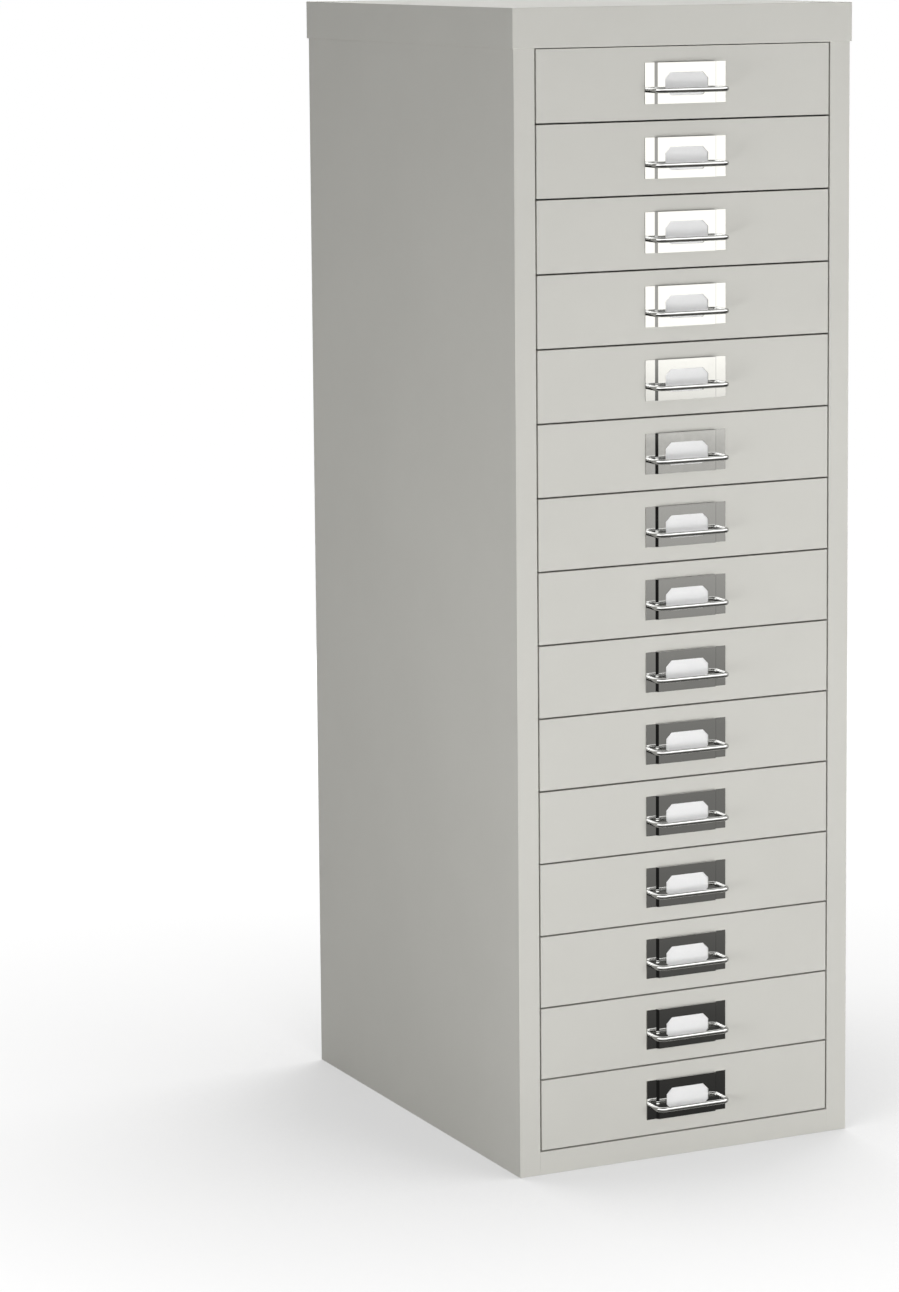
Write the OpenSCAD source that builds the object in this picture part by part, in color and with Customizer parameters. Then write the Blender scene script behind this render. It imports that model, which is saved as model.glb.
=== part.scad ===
// Small steel multi-drawer cabinet: a folded and welded carcass under a skirted lid,
// holding one stack of shallow drawers. Each drawer carries a plated label holder
// whose two side tabs are pinned to the front by the legs of a wire pull.
//
// Frame: origin on the floor under the middle of the whole cabinet, pulls included,
// +X to the right of someone facing the drawers, drawer fronts at -Y, +Z up.
// All sizes in millimetres.

/* [Carcass] */
// Width over the two side panels
body_w = 279; // [250:1:420]
// Depth from the drawer fronts to the rear edge
body_d = 363; // [340:1:460]
// Thickness of the sheet steel of the carcass, the lid and the drawer fronts
sheet_t = 1.0; // [0.8:0.1:1.2]
// Width of the stile at each side of the drawers
stile_w = 16.8; // [16:0.1:26]
// Depth of the fold behind each stile, which stops the drawers
stile_fold = 14; // [13.5:0.5:18]
// Width of the fold down each rear edge of the carcass
rear_fold = 15; // [10:1:25]
// Height of the rail below the drawers
base_rail_h = 17.3; // [12:0.1:40]
// Depth of the folds round the edge of the head panel
head_fold = 13; // [8:1:20]

/* [Lid] */
// Height of the lid over the drawer opening
skirt_h = 28.4; // [24:0.1:45]
// How far the skirt hangs over the gap above the top drawer
skirt_lap = 0.6; // [0.2:0.1:0.8]
// Clearance between the skirt and the carcass
lid_gap = 0.2; // [0.1:0.05:0.4]

/* [Drawers] */
// Number of drawers in the stack
drawer_count = 15; // [5:1:15]
// Height from one drawer to the next
drawer_pitch = 54.2; // [52:0.1:80]
// Gap between a drawer front and whatever is next to it
front_gap = 1.3; // [1:0.1:1.6]
// Depth of the folds round each drawer front
front_fold = 12; // [8:0.5:13]
// Thickness of the sheet of the trays and runners
tray_t = 0.8; // [0.7:0.05:0.9]
// Height of the tray walls
tray_h = 44.4; // [38:0.1:45]
// Width of the lip along each side of the tray
lip_w = 3.7; // [3:0.1:4.5]
// Space between the closed tray and the back panel
tray_rear_space = 5.5; // [4:0.5:12]
// How far a drawer slides out
drawer_travel = 263; // [200:1:270]
// Length of the stop ear on each lip
ear_l = 6; // [4:0.5:10]

/* [Runners] */
// Clearance under a lip, behind a closed tray and in front of a stop
run_gap = 0.3; // [0.2:0.05:0.4]
// Clearance over a lip
lift_gap = 0.5; // [0.3:0.05:0.8]
// Clearance between a lip and the fold behind the stile
lip_side_gap = 0.8; // [0.6:0.05:1]
// Clearance between a stop ear and the web of the rack
ear_gap = 0.5; // [0.4:0.05:0.6]
// Clearance between a tray wall and the edge of its runner
wall_gap = 1.2; // [0.8:0.1:1.4]
// Space between the fold behind the stile and the rack
rack_front_space = 1.5; // [0.5:0.5:6]
// Length of the tabs that join a rack to the side panel
rack_tab = 12; // [8:1:20]

/* [Label holder] */
// Width of the plate over its two side tabs
plate_w = 67; // [66:0.5:76]
// Height of the plate
plate_h = 30; // [28:0.5:36]
// Thickness of the plate
plate_t = 0.8; // [0.6:0.1:1]
// Width of the flat face of the raised middle
raised_w = 48; // [46:0.5:50]
// How far the raised middle stands out beyond the tabs
raise_h = 2; // [1.2:0.1:3]
// Width of the slope at each side of the raised middle
slope_w = 1.6; // [0.4:0.1:2]
// Width of the window
window_w = 35.6; // [30:0.1:40]
// Height of the window
window_h = 16.8; // [12:0.1:20]
// How far the middle of the window lies below the middle of the plate
window_drop = 0.6; // [0:0.1:2]
// Cut across each corner of the window
window_chamfer = 4.5; // [1:0.1:6]
// Thickness of the label card
card_t = 0.5; // [0.3:0.1:0.8]
// Clearance at each side of the card
card_side_gap = 0.7; // [0.3:0.1:1.5]
// How far the card ends below the upper edge of the plate
card_drop = 1.7; // [0:0.1:3]

/* [Wire pull] */
// Diameter of the wire
wire_d = 3.7; // [3:0.1:4.5]
// Distance from the drawer front to the middle of the bar
wire_reach = 13.5; // [11:0.5:30]
// How far the wire lies below the middle of the plate
wire_drop = 4.9; // [2:0.1:8]
// Bend radius at the middle of the wire
wire_bend = 5.5; // [5:0.1:8]
// Clearance round each leg in its holes
leg_gap = 0.1; // [0.05:0.05:0.2]
// Length of the leg inside the drawer front
leg_tail = 3; // [2:0.5:6]
// Outside diameter of the push nut on each leg
nut_d = 10; // [8:0.5:12]
// Thickness of the push nut
nut_t = 0.8; // [0.5:0.1:1]
// Clearance between a push nut and its leg
nut_gap = 0.05; // [0.03:0.01:0.08]

/* [Hidden] */
// Smoothness of the round shapes
$fn = 48;
// How far a cut runs past the face that it opens
cut = 1;

// Levels, from the floor up
opening_top = base_rail_h + drawer_count * drawer_pitch + front_gap;
total_h = opening_top + skirt_h;
shell_top = total_h - sheet_t;
base_top = base_rail_h;

// Planes, from front to rear
lid_out = lid_gap + sheet_t;
pull_out = wire_reach + wire_d / 2;
front_y = (pull_out - lid_out - body_d) / 2;
rear_y = front_y + body_d;
back_face_y = rear_y - sheet_t;
stile_rear_y = front_y + stile_fold;
inner_rear_y = back_face_y - sheet_t;
tray_rear_y = inner_rear_y - tray_rear_space;
rack_front_y = stile_rear_y + rack_front_space;
rack_rear_y = tray_rear_y + run_gap + tray_t;

// Distances from the middle plane
side_x = body_w / 2;
side_inner_x = side_x - sheet_t;
opening_x = side_x - stile_w;
web_x = opening_x + sheet_t;
lip_x = opening_x - lip_side_gap;
tray_x = lip_x - lip_w;
ear_x = web_x - ear_gap;
runner_x = tray_x + wall_gap;

// Drawer front and tray, measured from the lower outer edge of the front
front_w = 2 * (opening_x - front_gap);
front_h = drawer_pitch - front_gap;
tray_len = tray_rear_y - front_y;
tray_top = sheet_t + tray_h;
ear_y = stile_fold + drawer_travel + run_gap;

// Label holder and wire pull, measured from the middle of the plate, where the face
// of the drawer front is the plane y = 0
raised_y = -plate_t - raise_h;
raised_x = raised_w / 2;
slope_angle = atan(slope_w / raise_h);
pocket_x = raised_x - plate_t * tan(45 - slope_angle / 2);
pocket_z = -plate_h / 2 + plate_t;
wire_r = wire_d / 2;
hole_r = wire_r + leg_gap;
leg_x = (raised_x + slope_w + plate_w / 2) / 2;
corner_x = leg_x - wire_bend;
corner_y = wire_bend - wire_reach;

// Drawers are numbered from the top
function drawer_z(i) = base_rail_h + front_gap + (drawer_count - i) * drawer_pitch;
function drawer_name(i) = str("drawer_", i < 10 ? "0" : "", i);

// A block between two opposite corners
module block(low, high) {
    translate(low) cube(high - low);
}

// The same shape on both sides of the middle plane
module both_sides() {
    children();
    mirror([1, 0, 0]) children();
}

// Side panel on the right: outer sheet, stile with its fold, and rear fold
module side_panel() {
    union() {
        block([side_inner_x, front_y, 0], [side_x, rear_y, shell_top]);
        block([opening_x, front_y, 0], [side_x, front_y + sheet_t, shell_top]);
        block([opening_x, front_y, base_top], [web_x, stile_rear_y, opening_top]);
        block([side_x - rear_fold, back_face_y, 0], [side_x, rear_y, shell_top]);
    }
}

module left_side_panel() {
    color("lightgray") mirror([1, 0, 0]) side_panel();
}

module right_side_panel() {
    color("lightgray") side_panel();
}

// Flat sheet inside the two rear folds
module back_panel() {
    color("lightgray")
        block([-side_inner_x, inner_rear_y, 0], [side_inner_x, back_face_y, shell_top]);
}

// Floor of the carcass: a sheet folded down on all four sides, where the front fold
// fills the space between the stiles and shows as the rail below the drawers
module base_panel() {
    color("lightgray") union() {
        block([-side_inner_x, front_y + sheet_t, base_top - sheet_t],
              [side_inner_x, inner_rear_y, base_top]);
        block([-opening_x, front_y, 0], [opening_x, front_y + sheet_t, base_top]);
        block([-side_inner_x, inner_rear_y - sheet_t, 0],
              [side_inner_x, inner_rear_y, base_top]);
        both_sides()
            block([side_inner_x - sheet_t, front_y + sheet_t, 0],
                  [side_inner_x, inner_rear_y, base_top]);
    }
}

// Head of the carcass under the lid: a sheet folded down on all four sides, where the
// front fold reaches the drawer opening and is turned back along its lower edge
module head_panel() {
    color("lightgray") union() {
        block([-side_inner_x, front_y + sheet_t, shell_top - sheet_t],
              [side_inner_x, inner_rear_y, shell_top]);
        block([-opening_x, front_y, opening_top], [opening_x, front_y + sheet_t, shell_top]);
        block([-opening_x, front_y, opening_top],
              [opening_x, front_y + head_fold, opening_top + sheet_t]);
        block([-side_inner_x, inner_rear_y - sheet_t, shell_top - head_fold],
              [side_inner_x, inner_rear_y, shell_top]);
        both_sides()
            block([side_inner_x - sheet_t, front_y + sheet_t, shell_top - head_fold],
                  [side_inner_x, inner_rear_y, shell_top]);
    }
}

// Lid that drops over the carcass and rests on its upper edges
module top_lid() {
    color("lightgray") difference() {
        block([-side_x - lid_out, front_y - lid_out, opening_top - skirt_lap],
              [side_x + lid_out, rear_y + lid_out, total_h]);
        block([-side_x - lid_gap, front_y - lid_gap, opening_top - skirt_lap - cut],
              [side_x + lid_gap, rear_y + lid_gap, shell_top]);
    }
}

// One runner: the ledge under a tray lip, the ledge over it, and the closed end
// that the tray meets when it is pushed home
module runner(lip_z) {
    ledge_z = lip_z - run_gap;
    roof_z = lip_z + tray_t + lift_gap;
    block([runner_x, rack_front_y, ledge_z - tray_t], [web_x, rack_rear_y, ledge_z]);
    block([runner_x, rack_front_y, roof_z], [web_x, rack_rear_y, roof_z + tray_t]);
    block([runner_x, rack_rear_y - tray_t, ledge_z - tray_t],
          [web_x, rack_rear_y, roof_z + tray_t]);
}

// Rack on the right: a web with a pair of ledges for each drawer, folded out at the
// front and rear edges to tabs on the side panel
module runner_rack() {
    union() {
        block([web_x, rack_front_y, base_top], [web_x + tray_t, rack_rear_y, opening_top]);
        for (y = [rack_front_y, rack_rear_y - tray_t])
            block([web_x, y, base_top], [side_inner_x, y + tray_t, opening_top]);
        for (y = [rack_front_y, rack_rear_y - rack_tab])
            block([side_inner_x - tray_t, y, base_top],
                  [side_inner_x, y + rack_tab, opening_top]);
        for (i = [1:drawer_count]) runner(drawer_z(i) + tray_top - tray_t);
    }
}

module left_runner_rack() {
    color("silver") mirror([1, 0, 0]) runner_rack();
}

module right_runner_rack() {
    color("silver") runner_rack();
}

// Puts a child at the front face of drawer i, on the lower edge of its front
module at_drawer(i) {
    translate([0, front_y, drawer_z(i)]) children();
}

// Puts a child at the middle of the label holder, on the face of the drawer front
module at_plate() {
    translate([0, 0, front_h / 2]) children();
}

// Puts a child on the axis of each leg of the wire pull, with +Z into the drawer
module at_legs() {
    for (x = [-leg_x, leg_x])
        translate([x, 0, -wire_drop]) rotate([-90, 0, 0]) children();
}

// Drawer front: a sheet folded back on all four sides, pierced for the pull
module drawer_front() {
    difference() {
        block([-front_w / 2, 0, 0], [front_w / 2, front_fold, front_h]);
        block([-front_w / 2 + sheet_t, sheet_t, sheet_t],
              [front_w / 2 - sheet_t, front_fold + cut, front_h - sheet_t]);
        at_plate() at_legs()
            translate([0, 0, -cut]) cylinder(r = hole_r, h = sheet_t + 2 * cut);
    }
}

// Tray: floor, back and two walls with outward lips, joined to the drawer front
module tray() {
    block([-tray_x, sheet_t, sheet_t], [tray_x, tray_len, sheet_t + tray_t]);
    block([-tray_x, tray_len - tray_t, sheet_t], [tray_x, tray_len, tray_top]);
    both_sides() {
        block([tray_x - tray_t, sheet_t, sheet_t], [tray_x, tray_len, tray_top]);
        block([tray_x - tray_t, stile_fold, tray_top - tray_t], [lip_x, tray_len, tray_top]);
        block([tray_x, ear_y, tray_top - tray_t], [ear_x, ear_y + ear_l, tray_top]);
    }
}

module drawer(i) {
    color("gainsboro") at_drawer(i) union() {
        drawer_front();
        tray();
    }
}

// Window of the label holder, with its corners cut across
module window_shape() {
    x = window_w / 2;
    y = window_h / 2;
    c = window_chamfer;
    polygon([[-x + c, -y], [x - c, -y], [x, -y + c], [x, y - c],
             [x - c, y], [-x + c, y], [-x, y - c], [-x, -y + c]]);
}

// Outline of the raised middle or of the pocket behind it, seen from above: its flat
// face is at y = face_y, and its sides slope out to y = open_y
module sloped_outline(face_x, face_y, open_y) {
    open_x = face_x + (open_y - face_y) * slope_w / raise_h;
    polygon([[-open_x, open_y], [-face_x, face_y], [face_x, face_y], [open_x, open_y]]);
}

// Label holder: two flat tabs and a raised middle that is open along its top edge
module holder_plate() {
    difference() {
        union() {
            block([-plate_w / 2, -plate_t, -plate_h / 2], [plate_w / 2, 0, plate_h / 2]);
            translate([0, 0, -plate_h / 2]) linear_extrude(height = plate_h)
                sloped_outline(raised_x, raised_y, -plate_t);
        }
        translate([0, 0, pocket_z]) linear_extrude(height = plate_h)
            sloped_outline(pocket_x, -raise_h, cut);
        translate([0, cut, -window_drop]) rotate([90, 0, 0])
            linear_extrude(height = 2 * cut - raised_y) window_shape();
        at_legs() translate([0, 0, -plate_t - cut]) cylinder(r = hole_r, h = plate_t + 2 * cut);
    }
}

// Wire pull: two legs through the plate and the drawer front, and the bar between them
module wire_pull() {
    union() {
        at_legs()
            translate([0, 0, corner_y]) cylinder(r = wire_r, h = -corner_y + sheet_t + leg_tail);
        both_sides()
            translate([corner_x, corner_y, -wire_drop]) rotate([0, 0, -90])
                rotate_extrude(angle = 90) translate([wire_bend, 0]) circle(r = wire_r);
        translate([-corner_x, -wire_reach, -wire_drop]) rotate([0, 90, 0])
            cylinder(r = wire_r, h = 2 * corner_x);
    }
}

// Push nuts that hold the legs behind the drawer front
module push_nuts() {
    at_legs() translate([0, 0, sheet_t]) difference() {
        cylinder(d = nut_d, h = nut_t);
        translate([0, 0, -cut]) cylinder(r = wire_r + nut_gap, h = nut_t + 2 * cut);
    }
}

module drawer_pull(i) {
    color("gray") at_drawer(i) at_plate() {
        holder_plate();
        wire_pull();
        push_nuts();
    }
}

// Card that stands in the label holder, against the rear of its raised middle
module drawer_label(i) {
    card_x = pocket_x - card_side_gap;
    color("white") at_drawer(i) at_plate()
        block([-card_x, -raise_h, pocket_z],
              [card_x, -raise_h + card_t, plate_h / 2 - card_drop]);
}

left_side_panel();
right_side_panel();
back_panel();
base_panel();
head_panel();
top_lid();
left_runner_rack();
right_runner_rack();
for (i = [1:drawer_count]) {
    drawer(i);
    drawer_pull(i);
    drawer_label(i);
}
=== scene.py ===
import math

import bpy
from mathutils import Matrix, Vector


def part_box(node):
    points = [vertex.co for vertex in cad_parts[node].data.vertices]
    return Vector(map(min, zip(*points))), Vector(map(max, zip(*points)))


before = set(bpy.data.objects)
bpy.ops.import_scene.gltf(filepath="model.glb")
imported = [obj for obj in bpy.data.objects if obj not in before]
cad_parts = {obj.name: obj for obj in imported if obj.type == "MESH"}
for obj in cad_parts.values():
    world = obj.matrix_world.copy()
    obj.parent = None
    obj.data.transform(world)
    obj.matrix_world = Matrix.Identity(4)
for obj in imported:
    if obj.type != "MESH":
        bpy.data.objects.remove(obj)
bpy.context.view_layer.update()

MM = 0.001
WHITE = (1, 1, 1, 1)

# Camera: where it stands before the drawer fronts, in metres, and where it looks
FRONT_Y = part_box("left_side_panel")[0][1]
CAMERA_X = -1.4545
CAMERA_Y = FRONT_Y - 2.6384
CAMERA_Z = 0.9179
CAMERA_AZIMUTH = math.radians(25.56)
CAMERA_PITCH = math.radians(-7.47)
CAMERA_ROLL = math.radians(-0.48)
SENSOR_MM = 36
# In pixels of the photograph: its height, the focal length, and how far the principal point
# lies above the middle of the picture, as in a view camera with its lens lowered
PHOTO_H = 1292
FOCAL_PX = 4115
LENS_DROP_PX = 180

# Edges of the folded sheets: their radius in millimetres, smaller where panels meet flush and
# the paint fills the seam. Corners of a mesh within WELD_REACH metres are joined, faces within
# FLAT_ANGLE degrees are one, and an edge counts as sharp from SHARP_ANGLE degrees. Large faces
# lead the shading by their weight, of which 50 would be neutral.
EDGE_RADIUS = 0.35
FLUSH_RADIUS = 0.15
FLUSH_PANELS = ("left_side_panel", "right_side_panel", "base_panel")
EDGE_SEGMENTS = 3
WELD_REACH = 1e-6
FLAT_ANGLE = 1
SHARP_ANGLE = 40
LARGE_FACE_WEIGHT = 100

# Powder coat: two tones in sRGB, its gloss, and the span of its roughness. Its clouding and its
# orange peel are noise of so many waves in a metre.
COAT_TONES = (205, 204, 198), (208, 207, 201)
COAT_GLOSS = {"Metallic": 0.0, "IOR": 1.45, "Specular IOR Level": 0.2}
COAT_ROUGHNESS = 0.48, 0.58
CLOUD_NOISE = {"Scale": 9.0, "Detail": 4.0, "Roughness": 0.55}
PEEL_NOISE = {"Scale": 900.0, "Detail": 3.0, "Roughness": 0.6}
PEEL_BUMP = {"Strength": 0.25, "Distance": 0.0002}
NOISE_SPAN = 0.3, 0.7

# Plating: the colour of the plates, and a darker copy for the wires, which is painted shade that
# darkens their reflections; how far in millimetres before the drawer fronts the wires' darker
# colour begins and is full, and the span of the roughness by its polishing haze
PLATE_COLOUR = (0.55, 0.55, 0.54, 1)
WIRE_SHADED_COLOUR = (0.38, 0.38, 0.373, 1)
WIRE_SHADE_FROM, WIRE_SHADE_FULL = 3.0, 3.6
HAZE_NOISE = {"Scale": 160.0, "Detail": 5.0, "Roughness": 0.6}
HAZE_SPAN = 0.35, 0.65
HAZE_ROUGHNESS = 0.02, 0.06

# Zinc: its tones in sRGB, spangles to the metre and the span of its roughness
ZINC_TONES = (176, 178, 180), (198, 200, 202)
SPANGLE_SCALE = 140.0
ZINC_ROUGHNESS = 0.32, 0.48

# Card: its tones in sRGB, its gloss, and its fibres
CARD_TONES = (238, 238, 238), (246, 246, 246)
CARD_GLOSS = {"Roughness": 0.75, "Specular IOR Level": 0.25}
FIBRE_NOISE = {"Scale": 700.0, "Detail": 6.0, "Roughness": 0.7}
FIBRE_BUMP = {"Strength": 0.15, "Distance": 0.0001}

# Floor: half its width in metres, how far it lies under the cabinet in millimetres, and the
# tone that it throws back. It shows as paper white, of which a shadow takes one share and
# the shade around whatever stands on it another, within a reach in metres. The shade is
# full where no more than OPEN_LEAST of the sky is open.
FLOOR_REACH = 60
FLOOR_DROP = 0.5
FLOOR_TONE = 0.75
SHADOW_DEPTH = 0.30
PAPER_WHITE = 0.86
CONTACT_DEPTH = 0.38
CONTACT_REACH = 0.9
CONTACT_SAMPLES = 16
OPEN_LEAST = 0.6

# Lamps: a wide sun, with its azimuth counted from the front of the cabinet to its right, and
# square softboxes; angles in degrees, places and sizes in metres
KEY_SUN = {"azimuth": 120, "elevation": 50, "strength": 0.9, "spread": 40}
SOFTBOXES = {
    "front": {"place": (0.60, -1.75, 0.40), "target": (0, 0, 0.35), "size": 0.8, "power": 15.2},
    "side": {"place": (-1.1, -0.7, 0.25), "target": (-0.14, 0, 0.05), "size": 0.4, "power": 4.4},
    "rear": {"place": (0.50, 2.00, 0.55), "target": (0, 0.1, 0.4), "size": 0.8, "power": 9},
}
SUN_DISTANCE = 4

# Light from all round, the white that the camera sees behind everything, and what mirrors see:
# the sine of an elevation and the level there, in front of the cabinet and far to its left, as
# shares of MIRROR_WHITE. Levels below full are tinted.
SKY_LEVEL = 0.25
BACKDROP_LEVEL = 1.0
MIRROR_WHITE = 3.8
MIRROR_TINT = (1.0, 0.99, 0.95)
MIRROR_FRONT = [(-1.00, 0.09), (-0.88, 0.09), (-0.75, 0.03), (-0.35, 0.012), (-0.29, 0.009),
                (-0.262, 0.020), (-0.23, 0.055), (-0.18, 0.09), (-0.145, 0.165), (-0.125, 0.20),
                (-0.112, 0.40), (-0.10, 0.52), (-0.01, 0.52), (0.03, 0.03), (0.24, 0.03),
                (0.32, 1.0), (0.80, 1.0), (0.87, 0.02), (1.00, 0.02)]
MIRROR_LEFT = [(-1.00, 0.09), (-0.88, 0.09), (-0.75, 0.03), (-0.35, 0.005), (-0.12, 0.005),
               (-0.10, 0.17), (0.12, 0.17), (0.20, 1.0), (0.80, 1.0), (0.87, 0.02), (1.00, 0.02)]
# Where the one gives way to the other, as the sine of the angle to the right of the front
LEFT_FROM, LEFT_TO = -0.85, -0.45


# ---------------------------------------------------------------- node helpers

def add_node(tree, kind, inputs=None, **attributes):
    """A node with its attributes set, and then its inputs by name."""
    node = tree.nodes.new(kind)
    for key, value in attributes.items():
        setattr(node, key, value)
    for key, value in (inputs or {}).items():
        node.inputs[key].default_value = value
    return node


def new_material(name):
    """A material without nodes but its output: (material, tree, output)."""
    material = bpy.data.materials.new(name)
    material.use_nodes = True
    tree = material.node_tree
    tree.nodes.clear()
    return material, tree, add_node(tree, "ShaderNodeOutputMaterial")


def surface_material(name, settings):
    """A material with a Principled shader: (material, tree, shader, object coordinates)."""
    material, tree, output = new_material(name)
    shader = add_node(tree, "ShaderNodeBsdfPrincipled", settings)
    tree.links.new(shader.outputs["BSDF"], output.inputs["Surface"])
    return material, tree, shader, add_node(tree, "ShaderNodeTexCoord").outputs["Object"]


def add_texture(tree, kind, place, settings):
    """A texture over the object's own coordinates."""
    texture = add_node(tree, kind, settings)
    tree.links.new(place, texture.inputs["Vector"])
    return texture


def map_range(tree, value, source=(0.0, 1.0), target=(0.0, 1.0)):
    """The output that takes a value from one span to another."""
    spans = {"From Min": source[0], "From Max": source[1],
             "To Min": target[0], "To Max": target[1]}
    node = add_node(tree, "ShaderNodeMapRange", spans)
    tree.links.new(value, node.inputs["Value"])
    return node.outputs["Result"]


def mix_colours(tree, share, first, second):
    """The output that mixes two colours by a share."""
    node = add_node(tree, "ShaderNodeMix", {"A": first, "B": second}, data_type="RGBA")
    tree.links.new(share, node.inputs["Factor"])
    return node.outputs["Result"]


def bump(tree, height, shader, settings):
    """Fine relief on a shader."""
    node = add_node(tree, "ShaderNodeBump", settings)
    tree.links.new(height, node.inputs["Height"])
    tree.links.new(node.outputs["Normal"], shader.inputs["Normal"])


def mix_shaders(tree, share, first, second):
    """The shader that gives way from one shader to another by a share."""
    node = add_node(tree, "ShaderNodeMixShader")
    tree.links.new(share, node.inputs["Fac"])
    tree.links.new(first, node.inputs[1])
    tree.links.new(second, node.inputs[2])
    return node.outputs["Shader"]


def srgb(r, g, b):
    """Linear colour of an sRGB triple from 0 to 255."""
    def linear(v):
        v /= 255
        return v / 12.92 if v <= 0.04045 else ((v + 0.055) / 1.055) ** 2.4
    return (linear(r), linear(g), linear(b), 1)


def grey(level):
    """Linear grey of one level."""
    return (level, level, level, 1)


# ---------------------------------------------------------------- materials

def powder_coat():
    """Light grey powder coat: faintly clouded colour with a fine orange-peel surface."""
    material, tree, shader, place = surface_material("powder_coat_grey", COAT_GLOSS)
    cloud = add_texture(tree, "ShaderNodeTexNoise", place, CLOUD_NOISE)
    share = map_range(tree, cloud.outputs["Fac"], NOISE_SPAN)
    colour = mix_colours(tree, share, *(srgb(*tone) for tone in COAT_TONES))
    tree.links.new(colour, shader.inputs["Base Color"])

    peel = add_texture(tree, "ShaderNodeTexNoise", place, PEEL_NOISE)
    bump(tree, peel.outputs["Fac"], shader, PEEL_BUMP)
    rough = map_range(tree, peel.outputs["Fac"], NOISE_SPAN, COAT_ROUGHNESS)
    tree.links.new(rough, shader.inputs["Roughness"])
    return material


def bright_chrome():
    """Bright plated steel with a trace of polishing haze.

    The wire, in front of the pressed plate, gets a darker colour: painted shade on its
    reflections.
    """
    material, tree, shader, place = surface_material("bright_chrome", {"Metallic": 1.0})
    split = add_node(tree, "ShaderNodeSeparateXYZ")
    tree.links.new(place, split.inputs["Vector"])
    # Painted shade: the wire, in front of the plate, takes the darker colour, which darkens its
    # reflections
    wire_shade_span = FRONT_Y - WIRE_SHADE_FROM * MM, FRONT_Y - WIRE_SHADE_FULL * MM
    wire_shade = map_range(tree, split.outputs["Y"], wire_shade_span)
    colour = mix_colours(tree, wire_shade, PLATE_COLOUR, WIRE_SHADED_COLOUR)
    tree.links.new(colour, shader.inputs["Base Color"])

    haze = add_texture(tree, "ShaderNodeTexNoise", place, HAZE_NOISE)
    rough = map_range(tree, haze.outputs["Fac"], HAZE_SPAN, HAZE_ROUGHNESS)
    tree.links.new(rough, shader.inputs["Roughness"])
    return material


def zinc_steel():
    """Spangled zinc-coated sheet of the runner racks."""
    material, tree, shader, place = surface_material("zinc_steel", {"Metallic": 1.0})
    spangle = add_texture(tree, "ShaderNodeTexVoronoi", place, {"Scale": SPANGLE_SCALE})
    tones = (srgb(*tone) for tone in ZINC_TONES)
    colour = mix_colours(tree, spangle.outputs["Color"], *tones)
    tree.links.new(colour, shader.inputs["Base Color"])
    rough = map_range(tree, spangle.outputs["Distance"], target=ZINC_ROUGHNESS)
    tree.links.new(rough, shader.inputs["Roughness"])
    return material


def label_card():
    """Plain white card with a faint fibre mottle."""
    material, tree, shader, place = surface_material("label_card_white", CARD_GLOSS)
    fibre = add_texture(tree, "ShaderNodeTexNoise", place, FIBRE_NOISE)
    colour = mix_colours(tree, fibre.outputs["Fac"], *(srgb(*tone) for tone in CARD_TONES))
    tree.links.new(colour, shader.inputs["Base Color"])
    bump(tree, fibre.outputs["Fac"], shader, FIBRE_BUMP)
    return material


def paint(node, material):
    """Puts one material on every slot of a CAD node."""
    for slot in node.material_slots:
        slot.material = material


def round_edges(node, radius):
    """Rounds the sharp edges of a sheet piece, as a fold or a pressed edge is.

    The mesh arrives with its faces apart and in triangles, so they are joined first.
    """
    weld = node.modifiers.new("joined_faces", "WELD")
    weld.merge_threshold = WELD_REACH
    flat = node.modifiers.new("whole_faces", "DECIMATE")
    flat.decimate_type = "DISSOLVE"
    flat.angle_limit = math.radians(FLAT_ANGLE)
    edge = node.modifiers.new("edge_radius", "BEVEL")
    edge.width = radius * MM
    edge.segments = EDGE_SEGMENTS
    edge.limit_method = "ANGLE"
    edge.angle_limit = math.radians(SHARP_ANGLE)
    shade = node.modifiers.new("even_shade", "WEIGHTED_NORMAL")
    shade.weight = LARGE_FACE_WEIGHT


COAT = powder_coat()
CHROME = bright_chrome()
ZINC = zinc_steel()
CARD = label_card()

for name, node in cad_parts.items():
    if name.endswith("_pull"):
        paint(node, CHROME)
    elif name.endswith("_label"):
        paint(node, CARD)
    elif name.endswith("_rack"):
        paint(node, ZINC)
    else:
        paint(node, COAT)
        round_edges(node, FLUSH_RADIUS if name in FLUSH_PANELS else EDGE_RADIUS)


# ---------------------------------------------------------------- floor

def floor_material():
    """Paper white with a soft shadow to the camera, and a plain pale tone to other rays."""
    material, tree, output = new_material("studio_floor")
    bounce = add_node(tree, "ShaderNodeBsdfDiffuse", {"Color": grey(FLOOR_TONE)})
    shade = add_node(tree, "ShaderNodeBsdfDiffuse", {"Color": grey(SHADOW_DEPTH)})
    contact = add_node(tree, "ShaderNodeAmbientOcclusion", {"Distance": CONTACT_REACH},
                       samples=CONTACT_SAMPLES)
    levels = PAPER_WHITE * (1 - CONTACT_DEPTH), PAPER_WHITE
    paper_level = map_range(tree, contact.outputs["AO"], (OPEN_LEAST, 1.0), levels)
    paper = add_node(tree, "ShaderNodeEmission")
    tree.links.new(paper_level, paper.inputs["Strength"])
    seen = add_node(tree, "ShaderNodeAddShader")
    tree.links.new(shade.outputs["BSDF"], seen.inputs[0])
    tree.links.new(paper.outputs["Emission"], seen.inputs[1])
    path = add_node(tree, "ShaderNodeLightPath")
    surface = mix_shaders(tree, path.outputs["Is Camera Ray"],
                          bounce.outputs["BSDF"], seen.outputs["Shader"])
    tree.links.new(surface, output.inputs["Surface"])
    return material


def make_floor():
    """A wide white floor, which mirrors don't see."""
    mesh = bpy.data.meshes.new("studio_floor")
    corners = [(x * FLOOR_REACH, y * FLOOR_REACH, 0)
               for x, y in ((-1, -1), (1, -1), (1, 1), (-1, 1))]
    mesh.from_pydata(corners, [], [(0, 1, 2, 3)])
    mesh.materials.append(floor_material())
    floor = bpy.data.objects.new("studio_floor", mesh)
    bpy.context.scene.collection.objects.link(floor)
    floor.location.z = -FLOOR_DROP * MM
    floor.visible_glossy = False


# ---------------------------------------------------------------- lights

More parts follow.
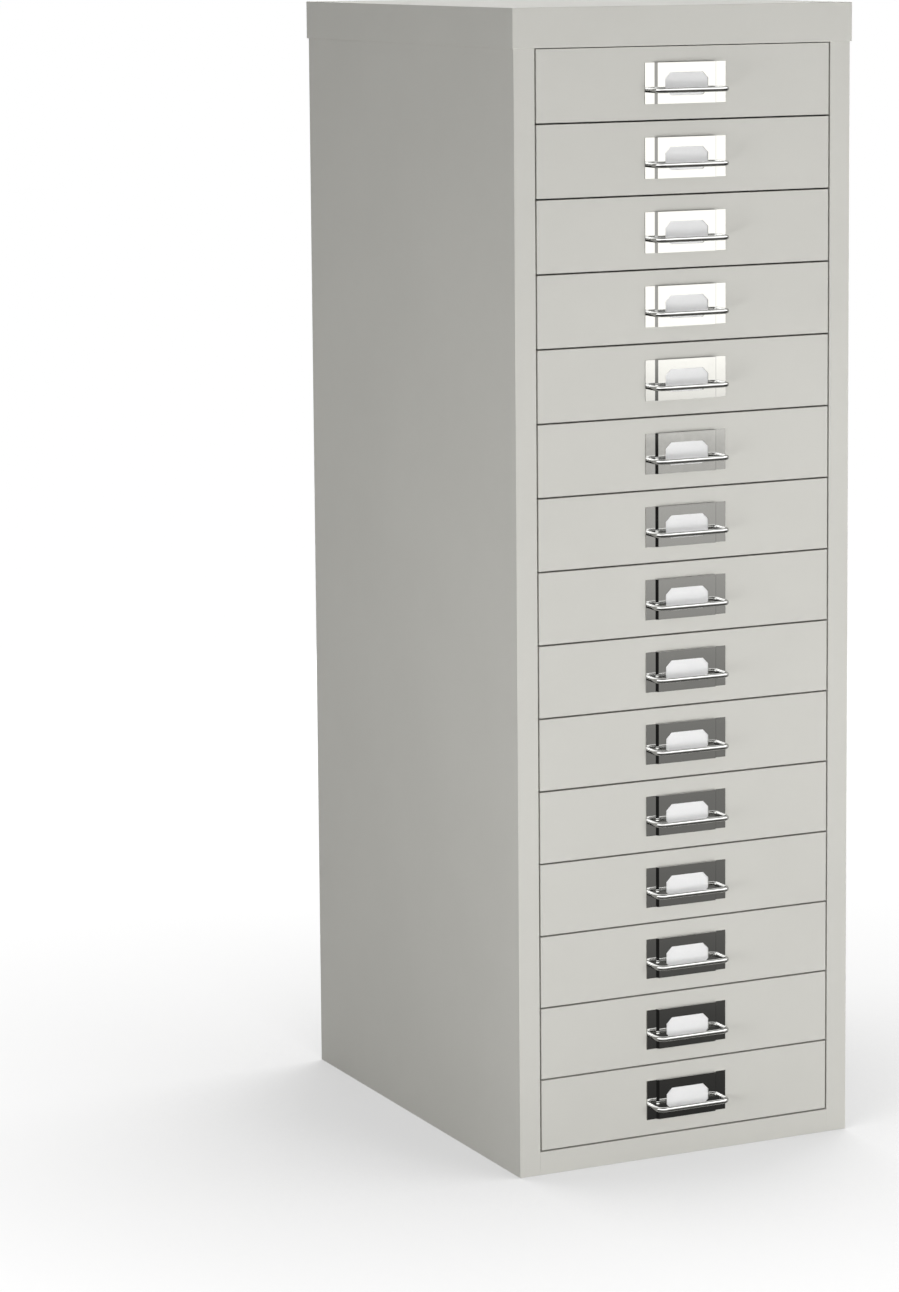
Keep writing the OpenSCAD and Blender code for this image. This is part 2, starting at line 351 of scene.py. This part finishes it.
def new_lamp(name, kind, place, source):
    """A lamp that shines along -source and that no mirror sees: (object, lamp data)."""
    lamp = bpy.data.lights.new(name, kind)
    light = bpy.data.objects.new(name, lamp)
    bpy.context.scene.collection.objects.link(light)
    light.location = place
    light.rotation_euler = source.to_track_quat("Z", "Y").to_euler()
    light.visible_glossy = False
    return light, lamp


def make_sun(name, azimuth, elevation, strength, spread):
    """A very wide, soft sun."""
    turn, rise = math.radians(azimuth), math.radians(elevation)
    source = Vector((math.sin(turn) * math.cos(rise),
                     -math.cos(turn) * math.cos(rise),
                     math.sin(rise)))
    _, lamp = new_lamp(name, "SUN", SUN_DISTANCE * source, source)
    lamp.energy = strength
    lamp.angle = math.radians(spread)


def make_softbox(name, place, target, size, power):
    """A square softbox, seen by nothing but what it lights."""
    light, lamp = new_lamp(name, "AREA", place, Vector(place) - Vector(target))
    lamp.size = size
    lamp.energy = power
    light.visible_camera = False


def background(tree, level):
    """A white background of one level."""
    return add_node(tree, "ShaderNodeBackground", {"Color": WHITE, "Strength": level})


def height_ramp(tree, height, steps):
    """Grey levels by height: a colour ramp with (sine of the elevation, level) steps."""
    ramp = add_node(tree, "ShaderNodeValToRGB")
    tree.links.new(height, ramp.inputs["Fac"])
    elements = ramp.color_ramp.elements
    elements.remove(elements[1])
    elements[0].position = (steps[0][0] + 1) / 2
    for rise, _ in steps[1:]:
        elements.new((rise + 1) / 2)
    for step, (_, level) in zip(elements, steps):
        step.color = [level * tint for tint in MIRROR_TINT] + [1] if level < 1 else WHITE
    return ramp.outputs["Color"]


def make_world():
    """White studio, which mirrors see darken towards the floor and overhead."""
    world = bpy.data.worlds.new("studio")
    bpy.context.scene.world = world
    world.use_nodes = True
    tree = world.node_tree
    tree.nodes.clear()
    output = add_node(tree, "ShaderNodeOutputWorld")
    path = add_node(tree, "ShaderNodeLightPath")
    place = add_node(tree, "ShaderNodeTexCoord")
    split = add_node(tree, "ShaderNodeSeparateXYZ")
    tree.links.new(place.outputs["Generated"], split.inputs["Vector"])

    # What mirrors see, by the height and the side that they face
    height = map_range(tree, split.outputs["Z"], (-1.0, 1.0))
    side = map_range(tree, split.outputs["X"], (LEFT_FROM, LEFT_TO))
    blend = add_node(tree, "ShaderNodeMix", data_type="RGBA")
    tree.links.new(side, blend.inputs["Factor"])
    tree.links.new(height_ramp(tree, height, MIRROR_LEFT), blend.inputs["A"])
    tree.links.new(height_ramp(tree, height, MIRROR_FRONT), blend.inputs["B"])
    mirror = background(tree, MIRROR_WHITE)
    tree.links.new(blend.outputs["Result"], mirror.inputs["Color"])

    soft = background(tree, SKY_LEVEL)
    seen = background(tree, BACKDROP_LEVEL)
    lighting = mix_shaders(tree, path.outputs["Is Glossy Ray"],
                           soft.outputs["Background"], mirror.outputs["Background"])
    surface = mix_shaders(tree, path.outputs["Is Camera Ray"],
                          lighting, seen.outputs["Background"])
    tree.links.new(surface, output.inputs["Surface"])


make_floor()
make_sun("key", **KEY_SUN)
for name, settings in SOFTBOXES.items():
    make_softbox(name, **settings)
make_world()


# ---------------------------------------------------------------- camera

def make_camera():
    """The camera of the photograph, with only part of the shift of its lens."""
    data = bpy.data.cameras.new("camera")
    camera = bpy.data.objects.new("camera", data)
    bpy.context.scene.collection.objects.link(camera)
    data.sensor_fit = "AUTO"
    data.sensor_width = SENSOR_MM
    data.lens = FOCAL_PX / PHOTO_H * SENSOR_MM
    data.shift_y = -LENS_DROP_PX / PHOTO_H
    forward = Vector((math.sin(CAMERA_AZIMUTH) * math.cos(CAMERA_PITCH),
                      math.cos(CAMERA_AZIMUTH) * math.cos(CAMERA_PITCH),
                      math.sin(CAMERA_PITCH)))
    right = Vector((math.cos(CAMERA_AZIMUTH), -math.sin(CAMERA_AZIMUTH), 0))
    up = right.cross(forward)
    rolled_right = math.cos(CAMERA_ROLL) * right + math.sin(CAMERA_ROLL) * up
    rolled_up = math.cos(CAMERA_ROLL) * up - math.sin(CAMERA_ROLL) * right
    turn = Matrix((rolled_right, rolled_up, -forward)).transposed()
    place = Matrix.Translation((CAMERA_X, CAMERA_Y, CAMERA_Z))
    camera.matrix_world = place @ turn.to_4x4()
    bpy.context.scene.camera = camera


make_camera()

bpy.context.scene.view_settings.view_transform = "Standard"
